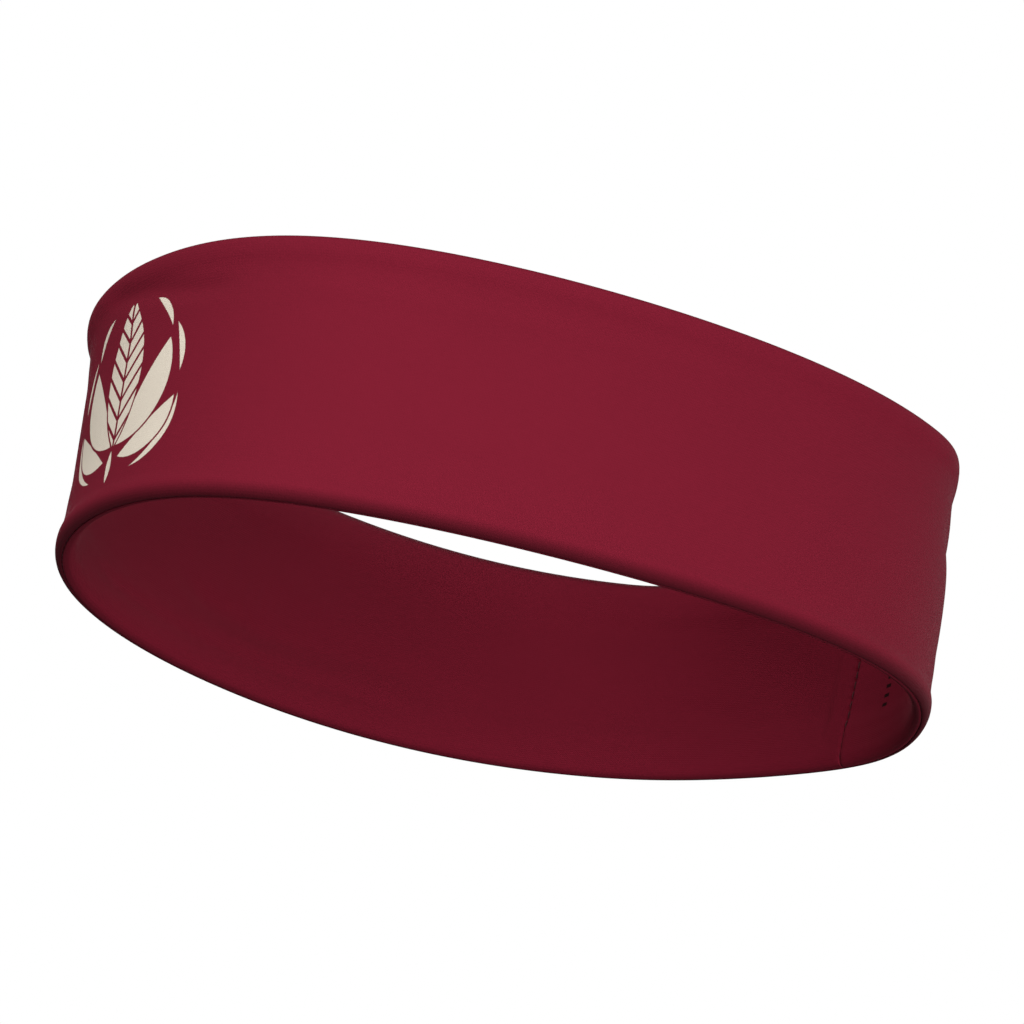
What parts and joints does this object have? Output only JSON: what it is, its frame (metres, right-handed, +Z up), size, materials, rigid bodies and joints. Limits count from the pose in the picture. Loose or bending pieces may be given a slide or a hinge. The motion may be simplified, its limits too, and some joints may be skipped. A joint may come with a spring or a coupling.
{
  "type": "stretch headband",
  "caption": "Wide double-layer knit headband, worn-round loop with curled, turned-in edges, a back seam and a tear-off care label inside.",
  "frame": {"origin": "centre of the loop's bounding box on the plane the lower edge stands on", "axes": "+Z up as worn, the front of the band faces -Y, the back seam is at +Y, +X is the wearer's left"},
  "size_m": [0.1644, 0.221, 0.054],
  "materials": {
    "outer_knit": "fine brushed jersey, dyed, with a printed motif",
    "lining_knit": "fine brushed jersey, dyed",
    "needle_thread": "spun polyester sewing thread",
    "looper_thread": "textured polyester overlock thread",
    "label_ribbon": "satin ribbon"
  },
  "bodies": {
    "band": {"outer_layer": "outer_knit", "lining": "lining_knit", "top_edge_needle_thread": "needle_thread", "top_edge_looper_threads": "looper_thread", "lower_edge_needle_thread": "needle_thread", "lower_edge_looper_threads": "looper_thread"},
    "back_seam": {"outer_back_needle_thread": "needle_thread", "outer_back_looper_threads": "looper_thread", "lining_back_needle_thread": "needle_thread", "lining_back_looper_threads": "looper_thread", "care_label_stub": "label_ribbon"},
    "care_label": {"care_label": "label_ribbon"}
  },
  "joints": [
    {"name": "stretch", "type": "slide", "parent": "band", "child": "back_seam", "axis": [0, 1, 0], "range_m": [0, 0.025], "stiffness_N_per_m": 200, "deforming": ["outer_layer", "lining", "top_edge_needle_thread", "top_edge_looper_threads", "lower_edge_needle_thread", "lower_edge_looper_threads"]},
    {"name": "label_flap", "type": "hinge", "parent": "back_seam", "child": "care_label", "pos_m": [0.00589, 0.10258, 0.0405], "axis": [-0.0088, -0.1009, -0.9949], "range_deg": [0, 120], "stiffness_Nm_per_rad": 0.00002}
  ]
}
